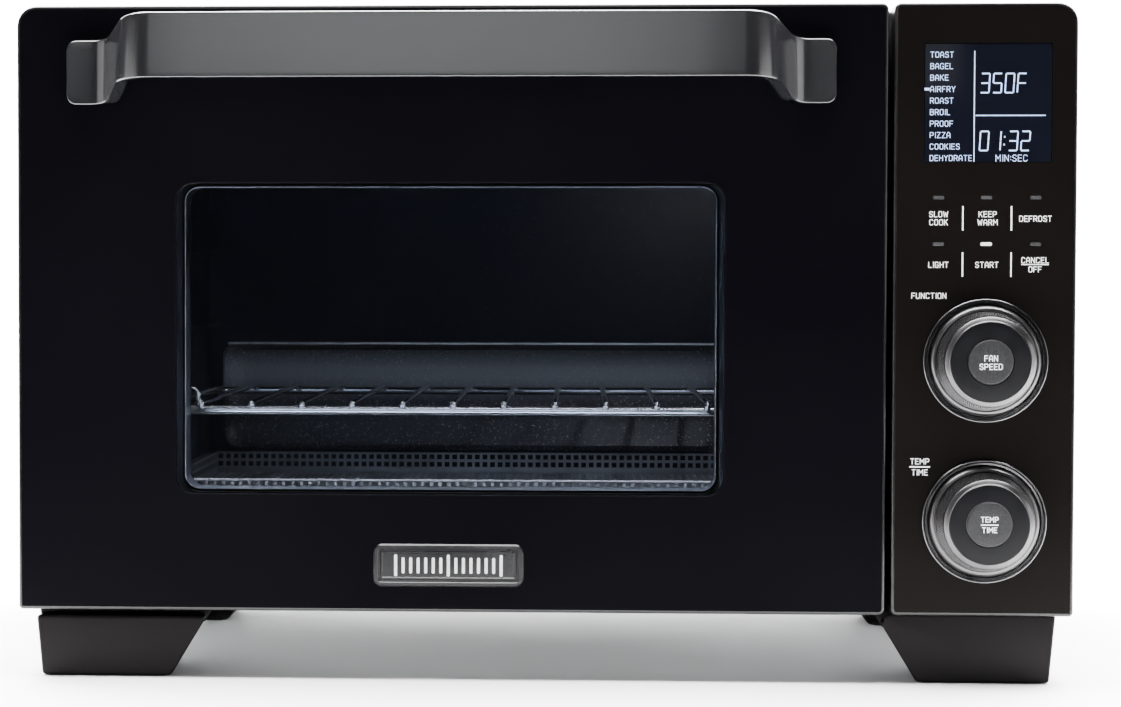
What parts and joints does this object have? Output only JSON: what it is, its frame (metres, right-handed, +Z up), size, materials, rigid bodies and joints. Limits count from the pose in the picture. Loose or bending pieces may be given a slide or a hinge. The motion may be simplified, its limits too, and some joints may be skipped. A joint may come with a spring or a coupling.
{
  "type": "toaster oven",
  "caption": "Countertop convection toaster oven with a drop-down glass door, strip handle, side control column with display and knobs, wire rack, basket and crumb tray",
  "frame": {"origin": "centre of the bounding box's footprint, on the worktop", "axes": "+X to the right along the front, +Y to the rear, +Z up; the door and the controls face -Y"},
  "size_m": [0.502, 0.43, 0.322],
  "materials": {
    "cover_steel": "satin black powder coat",
    "galvanised_steel": "plain galvanised sheet",
    "cavity_coating": "dark speckled non-stick coating",
    "black_plastic": "fine moulded texture",
    "foot_plastic": "satin moulded plastic",
    "pad_rubber": "matte",
    "fastener_steel": "zinc plated",
    "element_tube": "dull sheathed element",
    "ceramic_cap": "matte steatite",
    "clear_glass": "clear",
    "motor_steel": "laminated steel",
    "fan_aluminium": "pressed",
    "black_gloss": "glossy black",
    "handle_black": "glossy black",
    "display_glass": "blue black display glass",
    "module_grey": "plain",
    "board_green": "solder mask",
    "board_tan": "phenolic board",
    "relay_blue": "plain",
    "light_pipe": "translucent white",
    "trim_chrome": "polished bead",
    "knob_black": "satin black with knurled skirt",
    "button_grey": "speckled grey",
    "door_glass": "tinted",
    "door_steel": "grey blue enamelled sheet",
    "seal_rubber": "silicone",
    "badge_metal": "dark plate with bright double frame",
    "rack_chrome": "polished wire",
    "basket_steel": "perforated sheet",
    "tray_steel": "plain sheet"
  },
  "bodies": {
    "housing": {"outer_cover": "cover_steel", "base_pan": "galvanised_steel", "rear_cover": "cover_steel", "rear_spacers": "black_plastic", "front_frame": "galvanised_steel", "cover_screws": "fastener_steel", "cavity_liner": "cavity_coating", "cavity_back": "cavity_coating", "rack_guides": "cavity_coating", "upper_elements": "element_tube", "lower_elements": "element_tube", "element_insulators": "ceramic_cap", "temperature_probe": "fastener_steel", "oven_lamp": "ceramic_cap", "lamp_lens": "clear_glass", "fan_shroud": "galvanised_steel", "fan_motor": "motor_steel", "control_panel": "black_gloss", "display_lens": "display_glass", "display_module": "module_grey", "touch_board": "board_green", "led_light_pipes": "light_pipe", "control_board": "board_green", "function_encoder": "module_grey", "temperature_encoder": "module_grey", "function_knob_ring": "trim_chrome", "temperature_knob_ring": "trim_chrome", "power_board": "board_tan", "transformer": "motor_steel", "relays": "relay_blue", "door_switch": "black_plastic", "cord_gland": "black_plastic", "foot_front_left": "foot_plastic", "foot_front_right": "foot_plastic", "foot_rear_left": "foot_plastic", "foot_rear_right": "foot_plastic", "foot_pads": "pad_rubber", "hinge_brackets": "galvanised_steel", "door_gasket": "seal_rubber"},
    "door": {"hinge_cheeks": "galvanised_steel", "hinge_pins": "fastener_steel", "door_panel": "black_gloss", "door_liner": "door_steel", "door_outer_glass": "door_glass", "door_inner_glass": "door_glass", "door_handle": "handle_black", "handle_screws": "fastener_steel", "badge_plate": "badge_metal"},
    "rack": {"wire_rack": "rack_chrome"},
    "basket": {"air_fry_basket": "basket_steel"},
    "tray": {"crumb_tray": "tray_steel"},
    "function_dial": {"function_knob": "knob_black"},
    "temperature_dial": {"temperature_knob": "knob_black"},
    "function_push": {"function_button": "button_grey"},
    "temperature_push": {"temperature_button": "button_grey"},
    "fan": {"convection_fan": "fan_aluminium", "fan_shaft": "fastener_steel"}
  },
  "joints": [
    {"name": "door_hinge", "type": "hinge", "parent": "housing", "child": "door", "pos_m": [-0.04415, -0.16, 0.0385], "axis": [1, 0, 0], "range_deg": [0, 84]},
    {"name": "rack_slide", "type": "slide", "parent": "housing", "child": "rack", "axis": [0, -1, 0], "range_m": [0, 0.1469]},
    {"name": "basket_slide", "type": "slide", "parent": "housing", "child": "basket", "axis": [0, -1, 0], "range_m": [0, 0.0853]},
    {"name": "tray_slide", "type": "slide", "parent": "housing", "child": "tray", "axis": [0, -1, 0], "range_m": [0, 0.0472]},
    {"name": "function_knob_turn", "type": "hinge", "parent": "housing", "child": "function_dial", "pos_m": [0.2089, -0.177, 0.1538], "axis": [0, -1, 0], "continuous": true},
    {"name": "temperature_knob_turn", "type": "hinge", "parent": "housing", "child": "temperature_dial", "pos_m": [0.2089, -0.177, 0.0779], "axis": [0, -1, 0], "continuous": true},
    {"name": "function_button_press", "type": "slide", "parent": "function_dial", "child": "function_push", "axis": [0, 1, 0], "range_m": [0, 0.0015], "stiffness_N_per_m": 900},
    {"name": "temperature_button_press", "type": "slide", "parent": "temperature_dial", "child": "temperature_push", "axis": [0, 1, 0], "range_m": [0, 0.0015], "stiffness_N_per_m": 900},
    {"name": "fan_spin", "type": "hinge", "parent": "housing", "child": "fan", "pos_m": [0.12035, 0.02, 0.186], "axis": [-1, 0, 0], "continuous": true}
  ],
  "couplings": [
    {"joint": "rack_slide", "follows": "door_hinge", "m_per_rad": 0.1},
    {"joint": "basket_slide", "follows": "door_hinge", "m_per_rad": 0.058},
    {"joint": "tray_slide", "follows": "door_hinge", "m_per_rad": 0.032}
  ]
}
